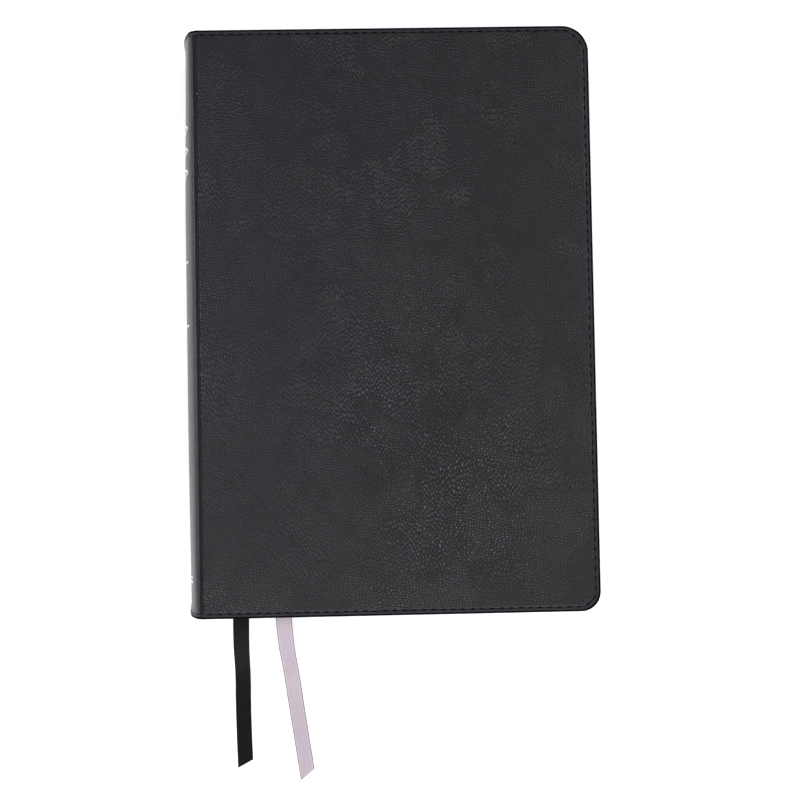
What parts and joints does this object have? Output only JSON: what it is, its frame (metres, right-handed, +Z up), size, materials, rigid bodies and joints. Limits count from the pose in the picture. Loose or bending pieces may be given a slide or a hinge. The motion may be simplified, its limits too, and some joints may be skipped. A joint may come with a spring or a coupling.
{
  "type": "bible",
  "caption": "Closed book with a rounded spine, limp black grained leather covers stitched round the edge, sewn thin-paper text block and satin ribbon markers.",
  "frame": {"origin": "on the surface that the closed book lies on, under the middle of its box without the ribbons", "axes": "+X from the spine to the fore-edge, +Y from the tail to the head, +Z up through the closed book to the front cover"},
  "size_m": [0.1656, 0.3078, 0.036],
  "materials": {
    "cover_leather": "black imitation leather, fine pebble grain, semi-gloss",
    "spine_leather": "same leather drawn smooth over the round spine, with silver foil rules",
    "card": "uncoated grey card",
    "endpaper": "matte black endpaper",
    "thread": "black waxed sewing thread",
    "kraft_paper": "brown kraft paper",
    "gauze": "open cotton gauze",
    "band_silk": "silver-grey woven headband",
    "bible_paper": "thin opaque paper with silver-gilt edges",
    "black_satin": "black satin ribbon",
    "mauve_satin": "pale mauve satin ribbon with a raised selvedge"
  },
  "bodies": {
    "text_block": {"gathering_01": "bible_paper", "gathering_02": "bible_paper", "gathering_03": "bible_paper", "gathering_04": "bible_paper", "gathering_05": "bible_paper", "gathering_06": "bible_paper", "gathering_07": "bible_paper", "gathering_08": "bible_paper", "gathering_09": "bible_paper", "gathering_10": "bible_paper", "gathering_11": "bible_paper", "gathering_12": "bible_paper", "gathering_13": "bible_paper", "gathering_14": "bible_paper", "gathering_15": "bible_paper", "gathering_16": "bible_paper", "spine_leather": "spine_leather", "spine_stiffener": "card", "kraft_lining": "kraft_paper", "mull": "gauze", "head_band": "band_silk", "tail_band": "band_silk", "spine_stitching_head": "thread", "spine_stitching_tail": "thread", "ribbon_black": "black_satin", "ribbon_mauve": "mauve_satin"},
    "front_cover": {"front_cover_leather": "cover_leather", "front_cover_board": "card", "front_pastedown": "endpaper", "front_cover_stitching": "thread"},
    "back_cover": {"back_cover_leather": "cover_leather", "back_cover_board": "card", "back_pastedown": "endpaper", "back_cover_stitching": "thread"},
    "front_leaf": {"front_flyleaf": "endpaper"},
    "back_leaf": {"back_flyleaf": "endpaper"}
  },
  "joints": [
    {"name": "front_cover_opening", "type": "hinge", "parent": "text_block", "child": "front_cover", "pos_m": [-0.07625, 0, 0.0346], "axis": [0, -1, 0], "range_deg": [0, 179.5]},
    {"name": "back_cover_opening", "type": "hinge", "parent": "text_block", "child": "back_cover", "pos_m": [-0.07625, 0, 0.0014], "axis": [0, 1, 0], "range_deg": [0, 179.5]},
    {"name": "front_leaf_turning", "type": "hinge", "parent": "text_block", "child": "front_leaf", "pos_m": [-0.07075, 0, 0.03275], "axis": [0, -1, 0], "range_deg": [0, 140]},
    {"name": "back_leaf_turning", "type": "hinge", "parent": "text_block", "child": "back_leaf", "pos_m": [-0.07075, 0, 0.00325], "axis": [0, 1, 0], "range_deg": [0, 140]}
  ],
  "couplings": [
    {"joint": "front_leaf_turning", "follows": "front_cover_opening", "ratio": 0.75},
    {"joint": "back_leaf_turning", "follows": "back_cover_opening", "ratio": 0.75}
  ]
}
